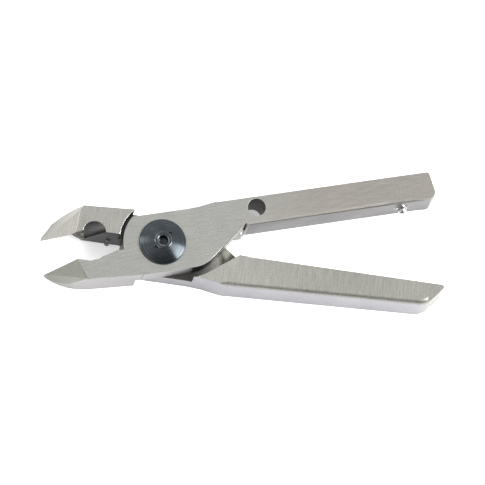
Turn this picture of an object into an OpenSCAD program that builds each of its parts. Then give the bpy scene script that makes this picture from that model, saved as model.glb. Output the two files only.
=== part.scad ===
// Lap-joint cutting nippers with bare steel levers, an oblique cutting head and a domed pivot screw.
// The pivot axis is Z at the origin, the backs of both levers lie on z = 0, the handles point to +X
// and the jaws to -X. Each lever is drawn with the tool closed and then turned to its open position.

/* [Levers] */
// Thickness of both levers
lever_t = 10; // [9:0.5:12]
// Angle between the levers in the open position
open_angle = 17; // [8:0.5:22]
// Distance from the pivot axis to the end of the front lever's handle
front_reach = 76.3; // [70:0.1:90]
// Distance from the pivot axis to the end of the rear lever's handle
rear_reach = 77.2; // [70:0.1:90]
// Distance from the centre line to the outer side of the front handle
handle_outer = 9; // [8.6:0.1:10]
// Distance from the centre line to the inner side of the front handle
front_inner = 1.3; // [1:0.1:2]
// Distance from the centre line to the inner side of the rear handle
rear_inner = 0.6; // [0.5:0.1:1.5]
// Distance from the centre line to the rear handle's outer side near its end
rear_tail = 7.1; // [6:0.1:9]

/* [Lap joint] */
// Half width of the lap at the pivot
lap_half_w = 8.3; // [8:0.1:9]
// Radius of the round front end of each lap
boss_r = 10.6; // [10:0.1:11]
// Radius of the hollow shoulder that the other lap turns in
shoulder_r = 11.6; // [11.2:0.1:12]
// Slope of the lap's edge towards the handles
lap_slope = 37.5; // [34:0.5:42]
// Gap between a lap's edge and the step of the other lever when closed
step_gap = 0.45; // [0.3:0.05:0.8]
// Clearance between the two lap faces
lap_clear = 0.03; // [0.02:0.01:0.1]

/* [Cutting head] */
// Distance from the pivot axis to the tips
tip_reach = 32.2; // [30:0.1:36]
// Distance from the pivot axis to the ridge where the nose starts to slope
ridge_reach = 23.5; // [22:0.1:26]
// Height of the tips above the back faces
tip_z = 1.2; // [0.6:0.1:3]
// Half width of a jaw at the ridge
jaw_half_w = 7.4; // [7:0.1:8]
// Gap left between the cutting edges when closed
edge_gap = 0.04; // [0.02:0.01:0.1]
// Radius of the hollow ground behind the cutting edges
hollow_r = 2.6; // [2:0.05:3]

/* [Pivot] */
// Radius of the pivot screw's domed head
head_r = 6.35; // [6:0.05:7]
// Height of the domed head above the front lever
head_h = 2; // [1.6:0.1:2.6]
// Radius of the plain shank that the front lever turns on
shank_r = 4; // [3.5:0.1:4.5]
// Radial running clearance round the shank
shank_clear = 0.04; // [0.02:0.01:0.1]
// Radius of the threaded end
thread_r = 3; // [2.5:0.1:3.4]
// Radius of the round lock nut in the back of the rear lever
nut_r = 5.2; // [4.6:0.1:6]
// Thickness of the lock nut
nut_t = 1.8; // [1.4:0.1:2.4]

/* [Bolt hole and stop screw] */
// Radius of the cross hole in the front handle
hole_r = 2.4; // [1.5:0.1:2.5]
// Radius of the stop screw's thread
stop_r = 1.5; // [1:0.1:2]
// Distance from the pivot axis to the stop screw
stop_x = 67.2; // [60:0.1:70]

/* [Hidden] */
$fn = 96;
steel = [0.72, 0.72, 0.70];
black_steel = [0.10, 0.11, 0.12];
lap_z = lever_t / 2;
swing = open_angle / 2;
// Lap edge: a straight slope that ends beside the handle, and a round corner under the pivot
edge_end = [23.6, 2];
corner_r = 10;
corner_x = edge_end.x - (edge_end.y + lap_half_w) / tan(lap_slope);
corner_tangent = corner_r * tan(lap_slope / 2);
// The inner side of each handle steps in a little beside the lap
toe_x = 22.9;
toe_inner = 0.45;
// Mouth walls behind the cutting edges
mouth_wall = 0.45;
lower_back = [-22.5, -4.2, 0];
upper_back = [-22.5, 2.2, 0];
valley = [-20, -2.3];
nub_x = 14.2;
nub_r = 0.65;
upper_root_x = 24.8;
// Cutting line, shared by both jaws when closed: from the tips up to the ridge on the front faces
line_tip = [-tip_reach, -1.85, tip_z];
line_root = [-ridge_reach, -1.25, lever_t];
line_dir = (line_root - line_tip) / norm(line_root - line_tip);
// Ground faces of the nose, each through three points
lower_ridge = [-ridge_reach + 1.9, -jaw_half_w - 0.4, lever_t];
upper_ridge = [-ridge_reach + 0.7, jaw_half_w - 0.2, lever_t];
lower_leaf = up_normal(line_tip, line_root, lower_ridge);
upper_leaf = up_normal(line_tip, line_root, upper_ridge);
hollow_mouth = [-18.4, 0.5, lever_t];
hollow_slope = 60;
hollow_depth = 7.4;
bevel_end = [-20.5, 0.3];
bevel_slant = 23;
// Outer sides of the jaws: a straight taper and an arc that ends at the tips
heel_half_w = 8.15;
nose_start = [-21, -7.3];
lower_sag = 1.13;
upper_sag = 2.7;
// Outer bevels of the nose, each through three points
shoulder_lower = [-21.6, -7.8, 9];
shoulder_normal_lower = up_normal(shoulder_lower, [-27.4, -5.7, 2], line_tip);
shoulder_upper = [-22.4, 7.6, 9];
shoulder_normal_upper = up_normal(shoulder_upper, [-28.2, 4.6, 1.5], line_tip);
upper_root_y = -line_root.y + (upper_root_x - ridge_reach) * (line_root.y - line_tip.y) / (tip_reach - ridge_reach);
// Bolt hole and stop screw
cross_hole = [27.1, 5.9];
stop_clear = 0.03;
stop_end = 7.8;
sink_r = 2.2;
// Pivot stack
head_rim_h = 0.35;
socket_r = 1.3;
socket_depth = 2.4;
collar_r = 2.3;
pin_at = 2.8;
pin_r = 0.42;
spring_r = 5.6;
spring_t = 0.35;
spring_seat = 0.5;
chamfer = 0.3;
big = 60;
eps = 0.01;

function unit(v) = v / norm(v);
function up_normal(a, b, c) = let (n = unit(cross(b - a, c - a))) n.z < 0 ? -n : n;
function arc(centre, r, from, to, steps) =
    [for (i = [0:steps]) let (a = from + (to - from) * i / steps) centre + r * [cos(a), sin(a)]];
// Arc from p to q that bulges by sag to the left of the way from p to q
function bulge(p, q, sag, steps) =
    let (chord = norm(q - p), along = (q - p) / chord, out = [-along.y, along.x],
         r = chord * chord / (8 * sag) + sag / 2, half = asin(chord / 2 / r),
         centre = (p + q) / 2 + out * (sag - r))
    [for (i = [0:steps]) let (a = half * (2 * i / steps - 1)) centre + r * (out * cos(a) + along * sin(a))];

// All space on the side of the plane through p that its unit normal n points to
module half_space(p, n) {
    translate(p) rotate([0, acos(n.z), atan2(n.y, n.x)]) translate([-big / 2, -big / 2, 0]) cube(big);
}

// Lap, seen with the handle on the +Y side: round end, flat sides and the edge that slopes to the handle
module lap_2d() {
    intersection() {
        circle(r = boss_r);
        square([2 * boss_r, 2 * lap_half_w], center = true);
    }
    polygon(concat(
        [[0, -lap_half_w]],
        arc([corner_x - corner_tangent, corner_r - lap_half_w], corner_r, -90, -90 + lap_slope, 8),
        [edge_end, [edge_end.x, lap_half_w], [0, lap_half_w]]));
}

// Front handle: parallel sides and a slightly raked end
module front_handle_2d() {
    polygon(concat(
        [[toe_x, front_inner], [toe_x, toe_inner], [8, toe_inner], [8, lap_half_w], [11.5, lap_half_w + 0.15],
         [14, handle_outer - 0.2], [16, handle_outer + 0.1], [18.5, handle_outer]],
        arc([front_reach - 1.4, handle_outer - 0.8], 0.8, 90, 12, 4),
        arc([front_reach - 2, front_inner + 2], 2, 0, -90, 8)));
}

// Rear handle, drawn on the +Y side too: tapered towards a raked end
module rear_handle_2d() {
    polygon(concat(
        [[toe_x + 0.8, rear_inner], [toe_x, toe_inner], [8, toe_inner], [8, lap_half_w],
         [12.5, lap_half_w + 0.25], [15.5, handle_outer + 0.1], [18, handle_outer + 0.5]],
        arc([rear_reach - 6.9, rear_tail - 5.1], 5, 84, 32, 8),
        arc([rear_reach - 0.8, rear_inner + 0.8], 0.8, 25, -90, 6)));
}

// Jaw on the -Y side; mouth lists the points from the tip back to the lap
module jaw_2d(mouth, sag) {
    polygon(concat(
        [[0, -lap_half_w], [-8, -heel_half_w]],
        bulge(nose_start, mouth[0], sag, 10),
        [for (i = [1:len(mouth) - 1]) mouth[i]],
        [[0, mouth[len(mouth) - 1].y]]));
}

// Room for the other lever's lap: its round end turns in the shoulder, its edge closes on the step
module lap_room_2d() {
    circle(r = shoulder_r);
    translate(step_gap * [sin(lap_slope), cos(lap_slope)]) mirror([0, 1]) lap_2d();
    translate([-8, 0]) square([17.5, 12]);
    translate([0, -shoulder_r]) square([2 * shoulder_r, shoulder_r]);
}

// Blank of a lever, with its lap on top, its jaw on the -Y side and its handle (the child) on the +Y side
module lever_blank(mouth, sag) {
    slope = [cos(lap_slope), sin(lap_slope)];
    difference() {
        union() {
            linear_extrude(lever_t) lap_2d();
            linear_extrude(lever_t) jaw_2d(mouth, sag);
            linear_extrude(lever_t) children();
        }
        translate([0, 0, -1]) linear_extrude(1 + lap_z + lap_clear / 2) lap_room_2d();
        translate([0, 0, lap_z + lap_clear / 2]) linear_extrude(lever_t)
            polygon([edge_end, edge_end - 6 * slope, [edge_end.x, edge_end.y - 6 * slope.y]]);
    }
}

// Inner bevel of a cutting edge: the plane through the cutting line and a point on the jaw's back edge,
// as far as the slanted wall of the mouth. side is -1 for the lower jaw and 1 for the upper one.
module edge_bevel(back, side) {
    n = unit(cross(line_dir, back - line_root));
    intersection() {
        half_space(line_root + [0, side * edge_gap / 2, 0], n.y * side < 0 ? n : -n);
        half_space([bevel_end.x, side * bevel_end.y, 0], [-sin(bevel_slant), -side * cos(bevel_slant), 0]);
        translate([-big - boss_r - 2, -big / 2, -1]) cube(big);
    }
}

// Slanting hollow with a round bottom, ground behind the cutting edges and shared by both jaws
module mouth_hollow() {
    translate(hollow_mouth) rotate([0, 90 - hollow_slope, 0]) rotate_extrude()
        polygon(concat([[0, big / 2], [hollow_r, big / 2]], [for (i = [0:8]) let (a = 11.25 * i)
            [hollow_r * cos(a), -hollow_depth - hollow_r * sin(a)]]));
}

module front_lever() {
    mouth = [[line_tip.x, line_tip.y], [line_root.x, line_root.y], valley, [-15.3, -1.2],
             [-12.6, -mouth_wall], [-10, -mouth_wall]];
    color(steel) rotate([0, 0, swing]) difference() {
        lever_blank(mouth, lower_sag) front_handle_2d();
        half_space(line_root, lower_leaf);
        half_space(shoulder_lower, shoulder_normal_lower);
        edge_bevel(lower_back, -1);
        mouth_hollow();
        translate([0, 0, -1]) cylinder(r = shank_r + shank_clear, h = lever_t + 2);
        translate([0, 0, lever_t - spring_seat]) cylinder(r = spring_r + 0.1, h = 2);
        translate([cross_hole.x, cross_hole.y, -1]) cylinder(r = hole_r, h = lever_t + 2);
        stop_bore();
    }
}

// Through hole for the stop screw, with a countersink in the handle's inner side
module stop_bore() {
    translate([stop_x, 0, lap_z]) rotate([-90, 0, 0]) {
        cylinder(r = stop_r + stop_clear, h = handle_outer + 2);
        translate([0, 0, front_inner - 1]) cylinder(r = sink_r, h = 1);
        translate([0, 0, front_inner - eps]) cylinder(r1 = sink_r, r2 = stop_r, h = sink_r - stop_r);
    }
}

module rear_lever() {
    mouth = [[line_tip.x, -line_tip.y - edge_gap], [-upper_root_x, upper_root_y - edge_gap],
             [-20.8, -mouth_wall], [-10, -mouth_wall]];
    color(steel) rotate([0, 0, -swing]) difference() {
        union() {
            translate([0, 0, lever_t]) rotate([180, 0, 0]) lever_blank(mouth, upper_sag) rear_handle_2d();
            translate([-nub_x, mouth_wall, 0]) cylinder(r = nub_r, h = lap_z - 1.5);
        }
        half_space(line_root, upper_leaf);
        half_space(shoulder_upper, shoulder_normal_upper);
        edge_bevel(upper_back, 1);
        mouth_hollow();
        translate([0, 0, -1]) cylinder(r = thread_r, h = lever_t);
        translate([0, 0, -1]) cylinder(r = nut_r + 0.02, h = 1 + nut_t);
    }
}

// Pivot screw: threaded end, plain shank and a domed head with a collar round its centre hole and two
// small holes for a pin spanner
module pivot_screw() {
    under = lever_t + lap_clear;
    top = lever_t + head_h;
    rise = top - under - head_rim_h;
    dome_r = (pow(head_r, 2) + pow(rise, 2)) / (2 * rise);
    collar_z = top - dome_r + sqrt(pow(dome_r, 2) - pow(collar_r, 2));
    steps = 8;
    collar_a = asin(collar_r / dome_r);
    rim_a = asin(head_r / dome_r);
    color(black_steel) difference() {
        rotate_extrude() polygon(concat(
            [[0, 0], [thread_r - chamfer, 0], [thread_r - eps, chamfer], [thread_r - eps, lap_z - lap_clear / 2],
             [shank_r, lap_z - lap_clear / 2], [shank_r, under], [head_r, under]],
            [for (i = [0:steps]) let (a = rim_a + (collar_a - rim_a) * i / steps)
                [dome_r * sin(a), top - dome_r + dome_r * cos(a)]],
            [[collar_r, collar_z + 0.12], [socket_r + 0.3, collar_z + 0.12], [socket_r, collar_z - 0.15],
             [socket_r, top - socket_depth], [0, top - socket_depth - socket_r / 2]]));
        for (a = [45, 225]) rotate([0, 0, a]) translate([pin_at, 0, top - 1]) cylinder(r = pin_r, h = 2);
    }
}

// Coned disc spring in the seat below the screw's head
module disc_spring() {
    low = lever_t - spring_seat + 0.02;
    high = lever_t + lap_clear - 0.01;
    color([0.45, 0.45, 0.46]) rotate_extrude() polygon([
        [shank_r + 0.1, high - spring_t], [spring_r, low], [spring_r, low + spring_t - 0.05], [shank_r + 0.1, high]]);
}

// Round lock nut with two spanner holes, flush with the back of the rear lever
module pivot_nut() {
    color(black_steel) difference() {
        cylinder(r = nut_r, h = nut_t);
        translate([0, 0, -1]) cylinder(r = thread_r, h = nut_t + 2);
        for (side = [-1, 1]) translate([side * (nut_r + thread_r) / 2, 0, -1]) cylinder(r = 0.6, h = 2.2);
    }
}

// Stop screw across the front handle: domed tip towards the rear handle and a hex socket at the outer end
module stop_screw() {
    tip_y = -rear_inner + 0.05;
    color([0.8, 0.8, 0.8]) rotate([0, 0, swing]) translate([stop_x, 0, lap_z]) rotate([-90, 0, 0]) difference() {
        rotate_extrude() polygon(concat(
            [[0, stop_end]], [[stop_r - 0.2, stop_end], [stop_r, stop_end - 0.2]],
            [for (i = [0:6]) [stop_r * cos(15 * i), tip_y + stop_r - stop_r * sin(15 * i)]]));
        translate([0, 0, stop_end - 1.5]) cylinder(r = 0.87, h = 2, $fn = 6);
    }
}

front_lever();
rear_lever();
pivot_screw();
disc_spring();
pivot_nut();
stop_screw();
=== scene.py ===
# %% [markdown]
# # Lap-joint cutting nippers in bare steel
# The imported CAD model gives two levers, a pivot screw with its spring and nut, and a stop screw.
# This file gives them soft ground edges, turned and threaded screws, and worn steel finishes,
# then lays the tool on a pale table under soft studio light.

# %% [markdown]
# ## The imported model
# Everything starts from the CAD pieces as they were packed.

import math

import bmesh
import bpy
from mathutils import Matrix, Vector


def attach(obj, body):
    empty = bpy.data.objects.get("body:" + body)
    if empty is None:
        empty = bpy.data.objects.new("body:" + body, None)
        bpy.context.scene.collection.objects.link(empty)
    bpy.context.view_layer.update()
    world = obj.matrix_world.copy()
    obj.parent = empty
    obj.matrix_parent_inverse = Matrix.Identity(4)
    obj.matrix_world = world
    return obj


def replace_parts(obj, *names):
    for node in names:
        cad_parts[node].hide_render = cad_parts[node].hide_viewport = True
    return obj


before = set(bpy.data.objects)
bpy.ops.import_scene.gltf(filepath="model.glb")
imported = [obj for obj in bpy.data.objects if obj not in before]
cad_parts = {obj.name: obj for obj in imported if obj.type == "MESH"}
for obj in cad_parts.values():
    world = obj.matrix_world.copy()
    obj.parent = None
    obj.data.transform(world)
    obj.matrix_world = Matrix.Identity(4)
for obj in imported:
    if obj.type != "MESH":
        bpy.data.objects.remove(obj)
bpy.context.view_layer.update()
MM = 0.001

# %% [markdown]
# ## Measures that the pieces share
# Both levers are drawn closed in the CAD and then swung open by half the opening angle each.
# Edges are easier to pick in the closed position, where the handles run along X, so a helper turns a
# point back. The stop screw lies across the front handle, at right angles to its length.

# %% Shared measures
SWING = math.radians(8.5)
LEVER_T = 10 * MM
SWUNG = {"front_lever": SWING, "rear_lever": -SWING}


def closed(point, lever):
    """The point in mm, with that lever turned back to its closed position."""
    return Matrix.Rotation(-SWUNG[lever], 3, "Z") @ (Vector(point) / MM)


def link(obj):
    bpy.context.scene.collection.objects.link(obj)
    return obj


def report(obj):
    mesh = obj.data
    print(f"{obj.name}: {len(mesh.vertices)} points, {len(mesh.polygons)} faces")
    return obj


# %% [markdown]
# ## Node helpers
# Every finish below is a small network of shader nodes. Two helpers keep them short: one adds a node
# with its settings, and one joins an output to an input. A shared effect is a node group, made once
# with named inputs, so the same grinding marks can run along one handle and across the other.

# %% Helpers for node trees
def add(tree, kind, **settings):
    """A new node. Settings named in_X fill the input X; the others are the node's own properties."""
    node = tree.nodes.new(kind)
    for name, value in settings.items():
        if name.startswith("in_"):
            key = name[3:]
            node.inputs[int(key) if key.isdigit() else key.replace("_", " ")].default_value = value
        else:
            setattr(node, name, value)
    return node


def join(tree, source, target):
    tree.links.new(source, target)


def group(name, inputs, outputs):
    """An empty shader group with those sockets: (name, kind) or (name, kind, value)."""
    tree = bpy.data.node_groups.new(name, "ShaderNodeTree")
    for way, sockets in (("INPUT", inputs), ("OUTPUT", outputs)):
        for label, kind, *value in sockets:
            socket = tree.interface.new_socket(label, in_out=way, socket_type="NodeSocket" + kind)
            if value:
                socket.default_value = value[0]
    return tree, tree.nodes.new("NodeGroupInput").outputs, tree.nodes.new("NodeGroupOutput").inputs


def math_node(tree, operation, a, b=None):
    node = add(tree, "ShaderNodeMath", operation=operation)
    for slot, value in zip(node.inputs, (a, b)):
        if value is None:
            continue
        if isinstance(value, (int, float)):
            slot.default_value = value
        else:
            join(tree, value, slot)
    return node.outputs[0]


def fit_range(tree, value, low, high, to_low=0.0, to_high=1.0):
    """The value stretched from low..high to to_low..to_high, and held inside it."""
    node = add(tree, "ShaderNodeMapRange", in_1=low, in_2=high, in_3=to_low, in_4=to_high)
    join(tree, value, node.inputs[0])
    return node.outputs[0]


# %% [markdown]
# ## Grinding marks
# A belt grinder leaves fine parallel scratches. Noise that is stretched far along one direction looks
# like them: its scale is high across the marks and low along them. The angle turns them on the piece.

# %% Shared effect: grinding marks
def make_grind():
    tree, given, out = group(
        "grinding marks",
        [("Vector", "Vector"), ("Angle", "Float", 0.0), ("Across", "Float", 5000.0),
         ("Along", "Float", 120.0)],
        [("Marks", "Float")])
    turn = add(tree, "ShaderNodeVectorRotate", rotation_type="Z_AXIS")
    join(tree, given["Vector"], turn.inputs["Vector"])
    join(tree, given["Angle"], turn.inputs["Angle"])
    scale = add(tree, "ShaderNodeCombineXYZ")
    for axis, name in (("X", "Along"), ("Y", "Across"), ("Z", "Across")):
        join(tree, given[name], scale.inputs[axis])
    stretch = add(tree, "ShaderNodeVectorMath", operation="MULTIPLY")
    join(tree, turn.outputs[0], stretch.inputs[0])
    join(tree, scale.outputs[0], stretch.inputs[1])
    noise = add(tree, "ShaderNodeTexNoise", in_Scale=1.0, in_Detail=4.0, in_Roughness=0.62)
    join(tree, stretch.outputs[0], noise.inputs["Vector"])
    join(tree, fit_range(tree, noise.outputs[0], 0.3, 0.7), out["Marks"])
    return tree


GRIND = make_grind()
print("made", GRIND.name)

# %% [markdown]
# ## Bead blasting and handling
# Blasting leaves a fine even pebble. Handling leaves broad cloudy patches where the steel is a little
# darker and smoother. Both are plain noise at two very different sizes, and one group gives both.

# %% Shared effect: blasted surface and cloudy patches
def make_blast():
    tree, given, out = group(
        "blasted surface",
        [("Vector", "Vector"), ("Grain size", "Float", 0.0002), ("Patch size", "Float", 0.012)],
        [("Pebble", "Float"), ("Patches", "Float")])
    for size, detail, low, high, name in (("Grain size", 3.0, 0.3, 0.7, "Pebble"),
                                          ("Patch size", 2.0, 0.35, 0.65, "Patches")):
        noise = add(tree, "ShaderNodeTexNoise", in_Detail=detail, in_Roughness=0.6)
        join(tree, given["Vector"], noise.inputs["Vector"])
        join(tree, math_node(tree, "DIVIDE", 1.0, given[size]), noise.inputs["Scale"])
        join(tree, fit_range(tree, noise.outputs[0], low, high), out[name])
    return tree


BLAST = make_blast()
print("made", BLAST.name)

# %% [markdown]
# ## Worn edges
# Edges that rub in the hand and in the drawer are bare and bright. The bevelled faces carry an
# attribute named rim, and the group breaks it up with noise so that the wear is not a clean stripe.

# %% Shared effect: worn edges
def make_wear():
    tree, given, out = group(
        "worn edges",
        [("Vector", "Vector"), ("Rim", "Float", 0.0), ("Evenness", "Float", 0.5)],
        [("Worn", "Float")])
    noise = add(tree, "ShaderNodeTexNoise", in_Scale=900.0, in_Detail=3.0)
    join(tree, given["Vector"], noise.inputs["Vector"])
    broken = math_node(tree, "ADD", fit_range(tree, noise.outputs[0], 0.35, 0.6), given["Evenness"])
    share = math_node(tree, "MINIMUM", broken, 1.0)
    join(tree, math_node(tree, "MULTIPLY", share, given["Rim"]), out["Worn"])
    return tree


WEAR = make_wear()
print("made", WEAR.name)

# %% [markdown]
# ## Turning marks
# A lathe tool leaves rings round the axis. The distance from the axis drives a noise, so the rings
# differ in depth, as real ones do. The axis is Z, which is right for the pivot screw, its spring and
# its nut. The stop screw lies across, so on it the rings are only a fine pattern.

# %% Shared effect: turning marks
def make_turned():
    tree, given, out = group(
        "turning marks",
        [("Vector", "Vector"), ("Ring width", "Float", 0.00012)],
        [("Rings", "Float")])
    parts = add(tree, "ShaderNodeSeparateXYZ")
    join(tree, given["Vector"], parts.inputs[0])
    squares = [math_node(tree, "MULTIPLY", parts.outputs[i], parts.outputs[i]) for i in (0, 1)]
    radius = math_node(tree, "SQRT", math_node(tree, "ADD", *squares))
    noise = add(tree, "ShaderNodeTexNoise", noise_dimensions="1D", in_Scale=1.0, in_Detail=3.0)
    join(tree, math_node(tree, "DIVIDE", radius, given["Ring width"]), noise.inputs["W"])
    join(tree, fit_range(tree, noise.outputs[0], 0.3, 0.7), out["Rings"])
    return tree


TURNED = make_turned()
print("made", TURNED.name)

# %% [markdown]
# ## Materials
# Each material keeps its own Principled shader. The groups feed its colour, roughness and bump; the
# numbers that are the same all over sit on the shader's own sockets.

# %% Helpers for materials
def start_material(name, **own):
    """A material with its shader, its Object coordinates and the shader's constant values."""
    made = bpy.data.materials.new(name)
    made.use_nodes = True
    tree = made.node_tree
    shader = tree.nodes["Principled BSDF"]
    for key, value in own.items():
        shader.inputs[key.replace("_", " ")].default_value = value
    return made, tree, shader, tree.nodes.new("ShaderNodeTexCoord").outputs["Object"]


def place(tree, shared, vector, **values):
    """One use of a shared group, fed with coordinates and this material's own values."""
    node = add(tree, "ShaderNodeGroup", node_tree=shared)
    join(tree, vector, node.inputs["Vector"])
    for key, value in values.items():
        node.inputs[key.replace("_", " ")].default_value = value
    return node


def blend_colour(tree, factor, a, b, mode="MIX"):
    node = add(tree, "ShaderNodeMix", data_type="RGBA", blend_type=mode)
    for slot, value in ((node.inputs[0], factor), (node.inputs[6], a), (node.inputs[7], b)):
        if isinstance(value, (int, float)):
            slot.default_value = value
        elif isinstance(value, tuple):
            slot.default_value = (*value, 1.0)
        else:
            join(tree, value, slot)
    return node.outputs[2]


def bump(tree, height, distance, strength=1.0, below=None):
    node = add(tree, "ShaderNodeBump", in_Distance=distance, in_Strength=strength)
    join(tree, height, node.inputs["Height"])
    if below is not None:
        join(tree, below, node.inputs["Normal"])
    return node.outputs[0]


# %% [markdown]
# ## Lever steel
# The flats are blasted and then lightly ground, so they shine softly and evenly. The marks run along
# the front handle and across the rear one, and the handles are warmer in tone than the head.
# Four attributes on the faces change the tone: side paints a shade tone of their own on the outer
# walls, nose marks the ground faces behind the cutting edges, a third paints near-black shade into the
# mouth, the joint, the cross hole and under the front lap, and half as dark on the front handle's outer
# wall, and rim marks the worn edges. Masks suit this best, because they follow the shape.

# %% Make the lever steel
# The first colour is painted shade: near-black laid into recesses, the joint and under the lap.
PAINTED_SHADE_TONE, WORN_TONE = (0.026, 0.026, 0.028), (0.52, 0.52, 0.52)
HANDLE_START, HANDLE_FULL = 18 * MM, 45 * MM


def lever_steel(name, angle, tone, warm, side, nose, marks):
    made, tree, shader, where = start_material(name, Metallic=1.0)
    blast = place(tree, BLAST, where, Grain_size=0.0004, Patch_size=0.014)
    grind = place(tree, GRIND, where, Angle=angle, Across=2600.0, Along=200.0)
    rim = add(tree, "ShaderNodeAttribute", attribute_name="rim")
    wear = place(tree, WEAR, where, Evenness=0.45)
    join(tree, rim.outputs["Fac"], wear.inputs["Rim"])
    along = add(tree, "ShaderNodeSeparateXYZ")
    join(tree, where, along.inputs[0])
    handled = fit_range(tree, along.outputs["X"], HANDLE_START, HANDLE_FULL, 0.0, 0.8)
    clouds = math_node(tree, "MULTIPLY", blast.outputs["Patches"], 0.25)
    streak = fit_range(tree, grind.outputs[0], 0, 1, 1 - marks, 1 + marks)
    speck = fit_range(tree, blast.outputs["Pebble"], 0, 1, 0.88, 1.12)
    texture = math_node(tree, "MULTIPLY", streak, speck)
    colour = blend_colour(tree, math_node(tree, "ADD", handled, clouds), tone, warm)
    colour = blend_colour(tree, 1.0, colour, texture, "MULTIPLY")
    # The first and the third mask here paint shade: a tone of their own on the outer walls, and
    # near-black in recesses.
    for attribute, tint in (("side", side), ("nose", nose), ("painted_shade", PAINTED_SHADE_TONE)):
        mask = add(tree, "ShaderNodeAttribute", attribute_name=attribute)
        tinted = blend_colour(tree, 1.0, tint, texture, "MULTIPLY")
        colour = blend_colour(tree, mask.outputs["Fac"], colour, tinted)
    colour = blend_colour(tree, wear.outputs[0], colour, WORN_TONE)
    join(tree, colour, shader.inputs["Base Color"])
    rough = math_node(tree, "ADD", fit_range(tree, blast.outputs["Patches"], 0, 1, 0.40, 0.47),
                      fit_range(tree, grind.outputs[0], 0, 1, -0.04, 0.05))
    rough = math_node(tree, "SUBTRACT", rough, math_node(tree, "MULTIPLY", wear.outputs[0], 0.16))
    join(tree, rough, shader.inputs["Roughness"])
    pebble = bump(tree, blast.outputs["Pebble"], 0.00001, 0.5)
    join(tree, bump(tree, grind.outputs[0], 0.000012, 0.6, pebble), shader.inputs["Normal"])
    return made


# The side tints are painted shade, a tone of their own for the outer walls; the nose tints are the
# ground faces.
FRONT_STEEL = lever_steel(
    "front lever steel", -SWING, tone=(0.288, 0.291, 0.275), warm=(0.244, 0.230, 0.208),
    side=(0.232, 0.225, 0.227), nose=(0.190, 0.193, 0.170), marks=0.08)
REAR_STEEL = lever_steel(
    "rear lever steel", SWING + math.pi / 2, tone=(0.300, 0.297, 0.275), warm=(0.240, 0.238, 0.215),
    side=(0.245, 0.241, 0.256), nose=(0.236, 0.221, 0.207), marks=0.13)
print("made", FRONT_STEEL.name, "and", REAR_STEEL.name)

# %% [markdown]
# ## Black turned steel
# The pivot screw is turned, polished and blackened. Fine rings make its gloss spread into wedges that
# point at the centre. An anisotropic shader does the same when its tangent points away from the axis,
# and the object's own X and Y give that direction. The spring and the stop screw are left bright.

# %% Make the black, bright and spring steels
RUBBED_TONE = (0.5, 0.5, 0.5)


def turned_steel(name, colour, light, rough, ring, depth, **own):
    """Steel with rings: its two tones, lowest roughness, ring width and ring depth."""
    made, tree, shader, where = start_material(name, **own)
    rings = place(tree, TURNED, where, Ring_width=ring)
    blast = place(tree, BLAST, where, Grain_size=0.00012, Patch_size=0.003)
    rim = add(tree, "ShaderNodeAttribute", attribute_name="rim")
    wear = place(tree, WEAR, where, Evenness=0.1)
    join(tree, rim.outputs["Fac"], wear.inputs["Rim"])
    lit = math_node(tree, "MULTIPLY", rings.outputs[0], blast.outputs["Patches"])
    mixed = blend_colour(tree, lit, colour, light)
    join(tree, blend_colour(tree, wear.outputs[0], mixed, RUBBED_TONE), shader.inputs["Base Color"])
    join(tree, fit_range(tree, rings.outputs[0], 0, 1, rough, rough + 0.12), shader.inputs["Roughness"])
    join(tree, bump(tree, rings.outputs[0], depth), shader.inputs["Normal"])
    outwards = add(tree, "ShaderNodeVectorMath", operation="MULTIPLY")
    outwards.inputs[1].default_value = (1, 1, 0)
    join(tree, where, outwards.inputs[0])
    join(tree, outwards.outputs[0], shader.inputs["Tangent"])
    return made


BLACK = turned_steel(
    "black turned steel", (0.040, 0.046, 0.051), (0.072, 0.080, 0.088),
    rough=0.24, ring=0.0004, depth=0.0000006, Metallic=1.0, Anisotropic=0.9)
SPRING = turned_steel(
    "spring steel", (0.36, 0.36, 0.37), (0.48, 0.48, 0.49),
    rough=0.3, ring=0.0002, depth=0.000004, Metallic=1.0)
BRIGHT = turned_steel(
    "bright screw steel", (0.40, 0.41, 0.42), (0.52, 0.53, 0.54),
    rough=0.18, ring=0.0003, depth=0.000002, Metallic=1.0)
print("made", BLACK.name, SPRING.name, BRIGHT.name)

# %% [markdown]
# ## Levers with soft edges
# The forging has no knife-sharp corners except the cutting edges. The CAD solid has, so its mesh is
# copied, its loose triangles are merged, and the corners are bevelled by place: wide along the grip
# of each handle, narrow round the lap, the jaws and the holes, and none at all on the cutting edges.
# The bevel faces get the rim attribute that the steel's wear reads.

# %% Helpers for rounding edges
def merged_copy(node):
    """A BMesh of the CAD node's mesh with its triangles joined and its flat faces made whole."""
    bm = bmesh.new()
    bm.from_mesh(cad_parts[node].data)
    bmesh.ops.remove_doubles(bm, verts=bm.verts, dist=0.002 * MM)
    bmesh.ops.dissolve_limit(bm, angle_limit=math.radians(0.6), verts=bm.verts, edges=bm.edges)
    return bm


def cross_cut(bm, lever, x):
    """A loop of edges across the lever at x in the closed position, so that a bevel can stop there."""
    along = Matrix.Rotation(SWUNG[lever], 3, "Z") @ Vector((1, 0, 0))
    bmesh.ops.bisect_plane(bm, geom=bm.verts[:] + bm.edges[:] + bm.faces[:], plane_co=along * x * MM,
                           plane_no=along, dist=1e-7)


def bevel_where(bm, lever, width, steps, wanted, worn, least=28.0):
    """Bevels the sharp convex edges whose middle, closed and in mm, is wanted; worn gives the rim."""
    picked = []
    for edge in bm.edges:
        if not edge.is_manifold or edge.calc_face_angle_signed() < math.radians(least):
            continue
        a, b = (closed(v.co, lever) for v in edge.verts)
        if wanted((a + b) / 2, b - a):
            picked.append(edge)
    rim = bm.faces.layers.float.get("rim") or bm.faces.layers.float.new("rim")
    made = bmesh.ops.bevel(bm, geom=picked, offset=width * MM, offset_type="OFFSET", segments=steps,
                           profile=0.5, affect="EDGES", clamp_overlap=False, loop_slide=True)
    for face in made["faces"]:
        face[rim] = worn(closed(face.calc_center_median(), lever))
    return len(picked)


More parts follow.
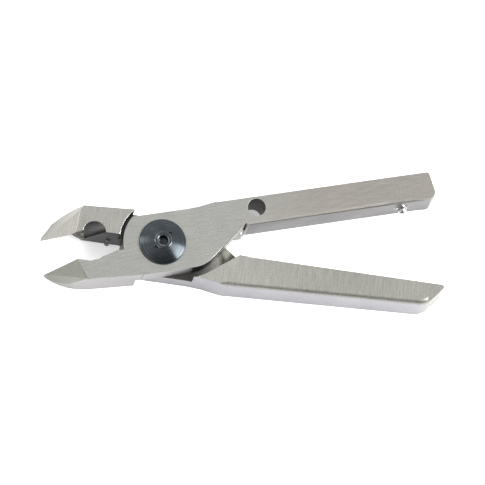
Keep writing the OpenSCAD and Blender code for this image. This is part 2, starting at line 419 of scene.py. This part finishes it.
def mark(bm, lever, name, rule):
    """Writes an attribute from 0 to 1. The rule gets a face's middle, normal and one corner, closed."""
    bm.normal_update()
    layer = bm.loops.layers.float.new(name)
    turn = Matrix.Rotation(-SWUNG[lever], 3, "Z")
    for face in bm.faces:
        middle, normal = closed(face.calc_center_median(), lever), turn @ face.normal
        for loop in face.loops:
            value = rule(middle, normal, closed(loop.vert.co, lever))
            loop[layer] = max(0.0, min(1.0, float(value)))


def to_object(bm, name, material, sharp=32.0):
    mesh = bpy.data.meshes.new(name)
    bm.to_mesh(mesh)
    bm.free()
    mesh.materials.append(material)
    mesh.polygons.foreach_set("use_smooth", [True] * len(mesh.polygons))
    mesh.set_sharp_from_angle(angle=math.radians(sharp))
    obj = link(bpy.data.objects.new(name, mesh))
    weigh = obj.modifiers.new("even shading", "WEIGHTED_NORMAL")
    weigh.keep_sharp = True
    return report(obj)


# %% [markdown]
# ## Front lever
# Its handle is square in section. The two corners on its inner side are rounded and the outer ones
# are only broken. Edges that end at the tips or run along the cutting line stay sharp. The rules below
# say in words which edges and faces are meant, in the closed position, so that both levers share them.

# %% Rules for the places on a lever
WIDE, NARROW = 0.9, 0.16
LIGHT_WEAR, FULL_WEAR, NO_WEAR = 0.14, 0.7, 0.0
CROSS_HOLE_X, CROSS_HOLE_Y, CROSS_HOLE_REACH = 27.1, 5.9, 2.6


def along_handle(mid, way, start, end):
    return start < mid.x < end and abs(way.z) < 0.5 * way.length


def on_cutting_edge(mid):
    return mid.x < -22.5 and -2.2 < mid.y < 0.6


def in_mouth(mid, way, inwards):
    """The walls of the mouth and of the hollow behind the cutting edges."""
    steep = way.z < 0.75 if mid.x > -21.5 else way.z < 0.3
    inside = -26 < mid.x < -9 and -4.6 < mid.y < 5.2 and steep and way.y * inwards > -0.1
    return 0.78 * inside


def on_boss(mid, way):
    """The round walls between the two laps."""
    return 10.0 < math.hypot(mid.x, mid.y) < 12.2 and mid.x < 6 and mid.y > -6 and abs(way.z) < 0.5


def under_lap(mid, way):
    """The wall of the front lap over the neck of the rear handle, painted with shade: blackest along
    the lower edge.
    """
    on_wall = 2 < mid.x < 26 and -9.5 < mid.y < -1 and abs(way.z) < 0.5 and mid.z > 5
    return on_wall * (0.6 if way.x > 0.3 else 0.95)


def at_toe(mid):
    """Where the slope of the lap runs into the inner side of the handle: too crowded to round."""
    return 21 < mid.x < 25.6 and mid.y < 2.6


def in_cross_hole(mid, way):
    """The wall of the hole through the front handle."""
    near = math.hypot(mid.x - CROSS_HOLE_X, mid.y - CROSS_HOLE_Y) < CROSS_HOLE_REACH
    return near and abs(way.z) < 0.5


def on_nose(mid, way):
    """The ground faces behind the cutting edges."""
    return mid.x < -20 and 0.25 < way.z < 0.97


def outer_wall_shade(mid, way, corner):
    """How squarely a face looks to the outer side of the rear handle: the mask for the shade tone
    painted on the outer walls.
    """
    return (-way.y - 0.8) / 0.18


# %% Round the front lever
GRIP_START, GRIP_END = 24.2, 73


def front_grip(mid, way):
    return along_handle(mid, way, GRIP_START, GRIP_END) and mid.y < 1.6


# Painted shade: dark in the mouth, the joint, under the lap and in the cross hole, half strength on the
# handle's outer wall.
def front_painted_shade(mid, way, corner):
    return (in_mouth(mid, way, 1) or on_boss(mid, way) or under_lap(mid, way)
            or in_cross_hole(mid, way) * 0.75 or (way.y < -0.8 and mid.x > 24) * 0.5)


front = merged_copy("front_lever")
cross_cut(front, "front_lever", GRIP_START)
counts = [
    bevel_where(front, "front_lever", WIDE, 4, front_grip, lambda m: NO_WEAR),
    bevel_where(front, "front_lever", NARROW, 2,
                lambda m, w: not on_cutting_edge(m) and not at_toe(m), lambda m: LIGHT_WEAR),
]
mark(front, "front_lever", "side", outer_wall_shade)
mark(front, "front_lever", "painted_shade", front_painted_shade)
mark(front, "front_lever", "nose", lambda m, n, c: on_nose(m, n))
front_lever = to_object(front, "front_lever_shaped", FRONT_STEEL)
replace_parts(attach(front_lever, "front"), "front_lever")
print("front lever edges rounded:", counts)

# %% [markdown]
# ## Rear lever
# Its handle tapers, and the corner that the fingers close on is rounded most, from the end of the neck
# to the tail. The inner corner is only broken, because it faces the other handle. Cuts across the neck
# give the painted shade on the bare flat of the lap places to fade between, and the last one ends the
# rounding.

# %% Round the rear lever
NECK_CUTS = (9.0, 12.0, 15.0, 18.0)
HEAVY, HEAVY_START, HEAVY_END = 1.5, 18.05, 76


def lap_floor(mid, way, corner):
    """The flat of the rear lap that the front lap leaves bare: painted shade, darkest far from the
    handle.
    """
    return (way.z > 0.9 and 4 < mid.z < 6) * max(0.05, min(0.8, 0.8 - (corner.x - 9) * 0.13))


def rear_grip(mid, way):
    return along_handle(mid, way, HEAVY_START, HEAVY_END) and mid.y < -4.9 and mid.z > 9


def shoulder_wear(mid):
    """Full wear on the front edge of the jaw's shoulder, little elsewhere."""
    on_shoulder = 11 < math.hypot(mid.x, mid.y) < 12.4 and mid.x < 0 and mid.z > 9.5
    return FULL_WEAR if on_shoulder else LIGHT_WEAR


# Painted shade in the mouth, in the joint and on the bare flat of the lap.
def rear_painted_shade(mid, way, corner):
    return in_mouth(mid, way, -1) or on_boss(mid, way) or lap_floor(mid, way, corner)


rear = merged_copy("rear_lever")
for x in NECK_CUTS:
    cross_cut(rear, "rear_lever", x)
counts = [
    bevel_where(rear, "rear_lever", HEAVY, 5, rear_grip, lambda m: NO_WEAR),
    bevel_where(rear, "rear_lever", NARROW, 2, lambda m, w: not on_cutting_edge(m), shoulder_wear),
]
mark(rear, "rear_lever", "side", outer_wall_shade)
mark(rear, "rear_lever", "painted_shade", rear_painted_shade)
mark(rear, "rear_lever", "nose", lambda m, n, c: 0.5 * on_nose(m, n))
rear_lever = to_object(rear, "rear_lever_shaped", REAR_STEEL)
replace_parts(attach(rear_lever, "rear"), "rear_lever")
print("rear lever edges rounded:", counts)

# %% [markdown]
# ## Geometry Nodes for the turned parts
# Screws and nuts repeat one profile round an axis, one thread along a helix, and one hole round a
# circle. Each of those rules is a small node tree with named inputs, so a size changes in one place.
# The trees end in real meshes with their material set, because instances are lost in the export.

# %% Helpers for Geometry Nodes
def geometry_tree(name, inputs):
    tree = bpy.data.node_groups.new(name, "GeometryNodeTree")
    tree.interface.new_socket("Geometry", in_out="INPUT", socket_type="NodeSocketGeometry")
    for label, kind, *value in inputs:
        socket = tree.interface.new_socket(label, in_out="INPUT", socket_type="NodeSocket" + kind)
        if value:
            socket.default_value = value[0]
    tree.interface.new_socket("Finish", in_out="INPUT", socket_type="NodeSocketMaterial")
    tree.interface.new_socket("Geometry", in_out="OUTPUT", socket_type="NodeSocketGeometry")
    return tree, tree.nodes.new("NodeGroupInput").outputs, tree.nodes.new("NodeGroupOutput").inputs[0]


def end_tree(tree, given, geometry, out):
    """Realize Instances and Set Material, then the tree's output."""
    real = add(tree, "GeometryNodeRealizeInstances")
    paint = add(tree, "GeometryNodeSetMaterial")
    join(tree, geometry, real.inputs[0])
    join(tree, real.outputs[0], paint.inputs["Geometry"])
    join(tree, given["Finish"], paint.inputs["Material"])
    join(tree, paint.outputs[0], out)


def grow(tree, mesh, material, **values):
    """The plain mesh that the tree makes from a mesh, with those inputs."""
    obj = link(bpy.data.objects.new("grow", mesh))
    modifier = obj.modifiers.new("grow", "NODES")
    modifier.node_group = tree
    wanted = {key.replace("_", " "): value for key, value in values.items()} | {"Finish": material}
    for item in tree.interface.items_tree:
        if item.in_out == "INPUT" and item.name in wanted:
            modifier[item.identifier] = wanted[item.name]
    ready = obj.evaluated_get(bpy.context.evaluated_depsgraph_get())
    made = bpy.data.meshes.new_from_object(ready)
    bpy.data.objects.remove(obj)
    print("grew", tree.name, len(made.vertices), "points")
    return made


# %% [markdown]
# ## Lathe
# A profile is a row of points from the axis out and back. A grid with one row for each point is bent
# round the axis: the row picks the profile point and the column gives the angle.

# %% Geometry Nodes: lathe
def make_lathe():
    tree, given, out = geometry_tree("lathe", [("Steps", "Int", 96)])
    size = add(tree, "GeometryNodeAttributeDomainSize", component="MESH")
    join(tree, given["Geometry"], size.inputs[0])
    columns = math_node(tree, "ADD", given["Steps"], 1)
    grid = add(tree, "GeometryNodeMeshGrid")
    join(tree, size.outputs["Point Count"], grid.inputs["Vertices X"])
    join(tree, columns, grid.inputs["Vertices Y"])
    index = add(tree, "GeometryNodeInputIndex").outputs[0]
    centred = math_node(tree, "ADD", index, 0.5)
    row = math_node(tree, "FLOOR", math_node(tree, "DIVIDE", centred, columns))
    column = math_node(tree, "SUBTRACT", index, math_node(tree, "MULTIPLY", row, columns))
    point = add(tree, "GeometryNodeSampleIndex", data_type="FLOAT_VECTOR")
    join(tree, given["Geometry"], point.inputs["Geometry"])
    join(tree, add(tree, "GeometryNodeInputPosition").outputs[0], point.inputs["Value"])
    join(tree, row, point.inputs["Index"])
    angle = math_node(tree, "MULTIPLY", math_node(tree, "DIVIDE", column, given["Steps"]), math.tau)
    turn = add(tree, "ShaderNodeVectorRotate", rotation_type="Z_AXIS")
    join(tree, point.outputs[0], turn.inputs["Vector"])
    join(tree, angle, turn.inputs["Angle"])
    bend = add(tree, "GeometryNodeSetPosition")
    join(tree, grid.outputs["Mesh"], bend.inputs["Geometry"])
    join(tree, turn.outputs[0], bend.inputs["Position"])
    seam = add(tree, "GeometryNodeMergeByDistance", in_Distance=1e-6)
    join(tree, bend.outputs[0], seam.inputs["Geometry"])
    outwards = add(tree, "GeometryNodeFlipFaces")
    join(tree, seam.outputs[0], outwards.inputs[0])
    end_tree(tree, given, outwards.outputs[0], out)
    return tree


LATHE = make_lathe()

# %% [markdown]
# ## Thread
# A thread is a small ridge that climbs along a helix. The helix sits just under the root of the
# thread, and a four-sided profile swept along it gives the crest.

# %% Geometry Nodes: thread
def make_thread():
    tree, given, out = geometry_tree("thread", [
        ("Radius", "Float", 0.0013), ("Ridge", "Float", 0.0002), ("Pitch", "Float", 0.0005),
        ("Length", "Float", 0.006)])
    helix = add(tree, "GeometryNodeCurveSpiral", in_Resolution=36)
    turns = math_node(tree, "DIVIDE", given["Length"], given["Pitch"])
    for source, target in ((turns, "Rotations"), (given["Radius"], "Start Radius"),
                           (given["Radius"], "End Radius"), (given["Length"], "Height")):
        join(tree, source, helix.inputs[target])
    ridge = add(tree, "GeometryNodeCurvePrimitiveCircle", in_Resolution=4)
    join(tree, given["Ridge"], ridge.inputs["Radius"])
    sweep = add(tree, "GeometryNodeCurveToMesh", in_Fill_Caps=True)
    join(tree, helix.outputs[0], sweep.inputs["Curve"])
    join(tree, ridge.outputs[0], sweep.inputs["Profile Curve"])
    end_tree(tree, given, sweep.outputs[0], out)
    return tree


THREAD = make_thread()

# %% [markdown]
# ## Ring of holes
# A pin spanner needs two blind holes. Cylinders stand on the points of a circle, and are cut away.

# %% Geometry Nodes: ring of holes
def make_hole_ring():
    tree, given, out = geometry_tree("ring of holes", [
        ("Count", "Int", 2), ("Circle", "Float", 0.0028), ("Hole", "Float", 0.0004),
        ("Depth", "Float", 0.002),
        ("Height", "Float", 0.012), ("Turn", "Float", 0.0)])
    spots = add(tree, "GeometryNodePoints")
    join(tree, given["Count"], spots.inputs["Count"])
    index = add(tree, "GeometryNodeInputIndex").outputs[0]
    start = add(tree, "ShaderNodeCombineXYZ")
    join(tree, given["Circle"], start.inputs["X"])
    spin = add(tree, "ShaderNodeVectorRotate", rotation_type="Z_AXIS")
    join(tree, start.outputs[0], spin.inputs["Vector"])
    part_turn = math_node(tree, "DIVIDE", index, given["Count"])
    join(tree, math_node(tree, "MULTIPLY", part_turn, math.tau), spin.inputs["Angle"])
    join(tree, spin.outputs[0], spots.inputs["Position"])
    pin = add(tree, "GeometryNodeMeshCylinder", in_Vertices=24)
    join(tree, given["Hole"], pin.inputs["Radius"])
    join(tree, given["Depth"], pin.inputs["Depth"])
    stand = add(tree, "GeometryNodeInstanceOnPoints")
    join(tree, spots.outputs[0], stand.inputs["Points"])
    join(tree, pin.outputs["Mesh"], stand.inputs["Instance"])
    where = add(tree, "ShaderNodeCombineXYZ")
    join(tree, given["Height"], where.inputs["Z"])
    turned = add(tree, "ShaderNodeCombineXYZ")
    join(tree, given["Turn"], turned.inputs["Z"])
    move = add(tree, "GeometryNodeTransform")
    join(tree, stand.outputs[0], move.inputs["Geometry"])
    join(tree, where.outputs[0], move.inputs["Translation"])
    join(tree, turned.outputs[0], move.inputs["Rotation"])
    cut = add(tree, "GeometryNodeMeshBoolean", operation="DIFFERENCE", solver="EXACT")
    join(tree, given["Geometry"], cut.inputs["Mesh 1"])
    join(tree, move.outputs[0], cut.inputs["Mesh 2"])
    end_tree(tree, given, cut.outputs[0], out)
    return tree


HOLES = make_hole_ring()
print("made", LATHE.name, THREAD.name, HOLES.name)

# %% [markdown]
# ## From profile to finished part
# Each turned part is drawn as half a section, as on a workshop drawing, and the lathe tree spins it.
# One helper then joins the body and its thread, writes the wear, and hides the CAD piece it stands for.

# %% Helpers for turned parts
def profile(points):
    """A row of points (radius, height) in mm as a mesh for the lathe."""
    mesh = bpy.data.meshes.new("profile")
    mesh.from_pydata([(r * MM, 0, z * MM) for r, z in points],
                     [(i, i + 1) for i in range(len(points) - 1)], [])
    return mesh


def finish_turned(meshes, material, name, body, node, place_in=Matrix.Identity(4),
                  sharp=30.0, rubbed=None):
    """One object from several meshes, in its place. Rubbed gives the wear at a radius and height."""
    bm = bmesh.new()
    for mesh in meshes:
        bm.from_mesh(mesh)
    rim = bm.faces.layers.float.new("rim")
    for face in bm.faces:
        face.material_index = 0
        middle = face.calc_center_median() / MM
        face[rim] = rubbed(middle.xy.length, middle.z) if rubbed else 0.0
    bmesh.ops.recalc_face_normals(bm, faces=bm.faces)
    bm.transform(place_in)
    obj = to_object(bm, name, material, sharp)
    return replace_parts(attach(obj, body), node)


# %% [markdown]
# ## Pivot screw
# The head is a shallow dome with a raised collar round its centre hole and two pin holes beside it.
# The profile starts at the axis on the threaded end, climbs past the shank, goes over the head and
# ends at the bottom of the centre hole.

# %% Turn the pivot screw
HEAD_R, HEAD_TOP, HEAD_UNDER, RIM = 6.35, 12.0, 10.03, 10.38
DOME_R = (HEAD_R ** 2 + (HEAD_TOP - RIM) ** 2) / (2 * (HEAD_TOP - RIM))
COLLAR_R, SOCKET_R, SOCKET_FLOOR = 2.3, 1.3, 9.7
SHANK_R, THREAD_END_R, SHANK_START = 4.0, 2.72, 4.98
DOME_STEPS = 24


def dome_z(r):
    return HEAD_TOP - DOME_R + math.sqrt(DOME_R ** 2 - r ** 2)


def head_wear(r, z):
    """Light wear on the collar's edge and on the lip of the centre hole."""
    on_collar = COLLAR_R - 0.12 < r < COLLAR_R + 0.1
    return 0.3 * (z > 11 and (on_collar or SOCKET_R < r < SOCKET_R + 0.3))


dome_radii = [HEAD_R - (HEAD_R - COLLAR_R - 0.1) * i / DOME_STEPS for i in range(2, DOME_STEPS + 1)]
collar_z = dome_z(COLLAR_R)
screw_profile = (
    [(0, 0), (2.5, 0), (THREAD_END_R, 0.22), (THREAD_END_R, SHANK_START), (SHANK_R, SHANK_START),
     (SHANK_R, HEAD_UNDER), (6.2, HEAD_UNDER), (HEAD_R, HEAD_UNDER + 0.12), (HEAD_R, RIM - 0.12),
     (HEAD_R - 0.05, RIM - 0.02)]
    + [(r, dome_z(r)) for r in dome_radii]
    + [(COLLAR_R + 0.08, collar_z - 0.04), (COLLAR_R, collar_z + 0.05),
       (COLLAR_R - 0.1, collar_z + 0.12), (SOCKET_R + 0.35, collar_z + 0.12),
       (SOCKET_R + 0.08, collar_z + 0.02), (SOCKET_R, collar_z - 0.12),
       (SOCKET_R, SOCKET_FLOOR), (0, 9.0)])
screw = grow(LATHE, profile(screw_profile), BLACK, Steps=96)
screw = grow(HOLES, screw, BLACK, Circle=2.8 * MM, Hole=0.42 * MM, Depth=2 * MM,
             Height=HEAD_TOP * MM, Turn=math.radians(45))
screw_thread = grow(THREAD, bpy.data.meshes.new("bare"), BLACK, Radius=2.7 * MM, Ridge=0.26 * MM,
                    Pitch=0.75 * MM, Length=4.2 * MM)
screw_thread.transform(Matrix.Translation((0, 0, 0.4 * MM)))
finish_turned([screw, screw_thread], BLACK, "pivot_screw_turned", "rear", "pivot_screw",
              rubbed=head_wear)

# %% [markdown]
# ## Lock nut
# The nut lies flush in the back of the rear lever. It is a turned ring with its own two pin holes.

# %% Turn the lock nut
NUT_R, NUT_BORE, NUT_T = 5.2, 3.0, 1.8
nut_profile = [(NUT_BORE, 0.25), (NUT_BORE + 0.25, 0), (NUT_R - 0.2, 0), (NUT_R, 0.2), (NUT_R, NUT_T),
               (NUT_BORE, NUT_T), (NUT_BORE, 0.25)]
nut = grow(LATHE, profile(nut_profile), BLACK, Steps=72)
nut = grow(HOLES, nut, BLACK, Circle=4.1 * MM, Hole=0.6 * MM, Depth=2.4 * MM, Height=0.0)
finish_turned([nut], BLACK, "pivot_nut_turned", "rear", "pivot_nut")

# %% [markdown]
# ## Stop screw
# A set screw crosses the front handle. Its domed tip stands out of the countersink and meets the rear
# handle when the jaws close; the other end has a round socket inside the handle.

# %% Turn the stop screw
STOP_ROOT, TIP_Y, STOP_END = 1.27, -0.55, 7.8
SOCKET_KEY_R, STOP_X = 0.87, 67.2
tip = [(STOP_ROOT * math.sin(a), TIP_Y + STOP_ROOT * (1 - math.cos(a)))
       for a in map(math.radians, range(0, 91, 9))]
stop_profile = tip + [
    (STOP_ROOT, STOP_END - 0.2), (STOP_ROOT - 0.2, STOP_END), (SOCKET_KEY_R, STOP_END),
    (SOCKET_KEY_R, STOP_END - 1.5), (0, STOP_END - 1.8)]
stop = grow(LATHE, profile(stop_profile), BRIGHT, Steps=48)
stop_thread = grow(THREAD, bpy.data.meshes.new("bare"), BRIGHT, Radius=1.25 * MM, Ridge=0.23 * MM,
                   Pitch=0.5 * MM, Length=6.5 * MM)
stop_thread.transform(Matrix.Translation((0, 0, 1.0 * MM)))
across = (Matrix.Rotation(SWING, 4, "Z") @ Matrix.Translation((STOP_X * MM, 0, LEVER_T / 2))
          @ Matrix.Rotation(-math.pi / 2, 4, "X"))
finish_turned([stop, stop_thread], BRIGHT, "stop_screw_turned", "stop", "stop_screw",
              across)

# %% [markdown]
# ## Disc spring
# The coned washer sits hidden under the screw's head and takes up the play of the joint. Its CAD mesh
# already has the right shape, so it only needs its steel.

# %% Finish on the disc spring
spring_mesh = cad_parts["disc_spring"].data
spring_mesh.materials.clear()
spring_mesh.materials.append(SPRING)
print("disc spring:", len(spring_mesh.polygons), "faces in", SPRING.name)

# %% [markdown]
# ## Table
# The tool lies on its back on white paper. The paper gives off a little light of its own, like a light
# table, which keeps the shadows faint and brightens the lower sides of the steel.

# %% Lay the table
table_mesh = bpy.data.meshes.new("table")
HALF_TABLE, TABLE_Z = 0.9, -0.1 * MM
corners = [(x * HALF_TABLE, y * HALF_TABLE, TABLE_Z) for x, y in ((-1, -1), (1, -1), (1, 1), (-1, 1))]
table_mesh.from_pydata(corners, [], [(0, 1, 2, 3)])
table = link(bpy.data.objects.new("table", table_mesh))
paper, paper_tree, paper_shader, paper_where = start_material(
    "white paper", Roughness=0.9, Emission_Color=(1, 1, 1, 1), Emission_Strength=0.42)
paper_noise = place(paper_tree, BLAST, paper_where, Grain_size=0.001, Patch_size=0.2)
paper_colour = blend_colour(paper_tree, paper_noise.outputs["Patches"], (0.93,) * 3, (0.95,) * 3)
join(paper_tree, paper_colour, paper_shader.inputs["Base Color"])
table_mesh.materials.append(paper)

# %% [markdown]
# ## Lights
# Two round soft boxes stand well away from the tool. The right one is the stronger and throws the
# bright wedge on the black dome; the left one answers it with a weaker wedge on the other side.

# %% Set the lights
LIGHT_AIM = Vector((0.022, 0, 0))


def area_light(name, size, power, place_at):
    lamp = bpy.data.lights.new(name, "AREA")
    lamp.shape, lamp.size, lamp.energy = "DISK", size, power
    obj = link(bpy.data.objects.new(name, lamp))
    obj.location = place_at
    obj.rotation_mode = "QUATERNION"
    obj.visible_camera = False
    obj.rotation_quaternion = (LIGHT_AIM - Vector(place_at)).to_track_quat("-Z", "Y")
    return obj


area_light("soft box right", 0.42, 9.0, (0.55, -0.11, 0.42))
area_light("soft box left", 0.25, 1.2, (-0.55, 0.25, 0.40))

# %% [markdown]
# ## Studio walls
# Steel shows what it mirrors. White walls and a slightly darker ceiling give the flats their even
# grey. A dark patch on the near side is mirrored only by the rounded corners, as a soft dark crease.

# %% Make the studio walls
DARK_TOWARDS = Vector((0.28, -0.80, 0.53))
DARK_STRENGTH, WALL_STRENGTH, CEILING_STRENGTH = 0.15, 1.75, 1.2

world = bpy.data.worlds.new("studio")
world.use_nodes = True
sky = world.node_tree
sky.nodes["Background"].inputs["Color"].default_value = (1, 1, 1, 1)
direction = add(sky, "ShaderNodeTexCoord").outputs["Generated"]
facing = add(sky, "ShaderNodeVectorMath", operation="DOT_PRODUCT")
join(sky, direction, facing.inputs[0])
facing.inputs[1].default_value = DARK_TOWARDS.normalized()
height = add(sky, "ShaderNodeSeparateXYZ")
join(sky, direction, height.inputs[0])
ceiling = fit_range(sky, height.outputs["Z"], 0.3, 0.95, WALL_STRENGTH, CEILING_STRENGTH)
patch = fit_range(sky, facing.outputs["Value"], 0.45, 0.95, 1.0, DARK_STRENGTH)
join(sky, math_node(sky, "MULTIPLY", patch, ceiling), sky.nodes["Background"].inputs["Strength"])
bpy.context.scene.world = world
bpy.context.scene.view_settings.view_transform = "Standard"

# %% [markdown]
# ## Camera
# The tool is seen from above and a little from the front, with a very long lens, so that parallel edges
# stay nearly parallel. The distance follows from the lens and the width that the picture takes in.

# %% Set the camera
LENS, SENSOR, FIELD = 500.0, 36.0, 130.4 * MM
AIM = Vector((21.65, -0.12, 10)) * MM
right = Vector((0.9914, -0.0399, 0.130)).normalized()
back = Vector((-0.1360, -0.2963, 0.9455)).normalized()
up = back.cross(right).normalized()
right = up.cross(back)
camera_data = bpy.data.cameras.new("camera")
camera_data.lens, camera_data.sensor_width = LENS, SENSOR
camera_data.clip_start, camera_data.clip_end = 0.05, 10
camera = link(bpy.data.objects.new("camera", camera_data))
turn = Matrix((right, up, back)).transposed().to_4x4()
camera.matrix_world = Matrix.Translation(AIM + back * (FIELD * LENS / SENSOR)) @ turn
bpy.context.scene.camera = camera
print("camera at", [round(v, 3) for v in camera.location])
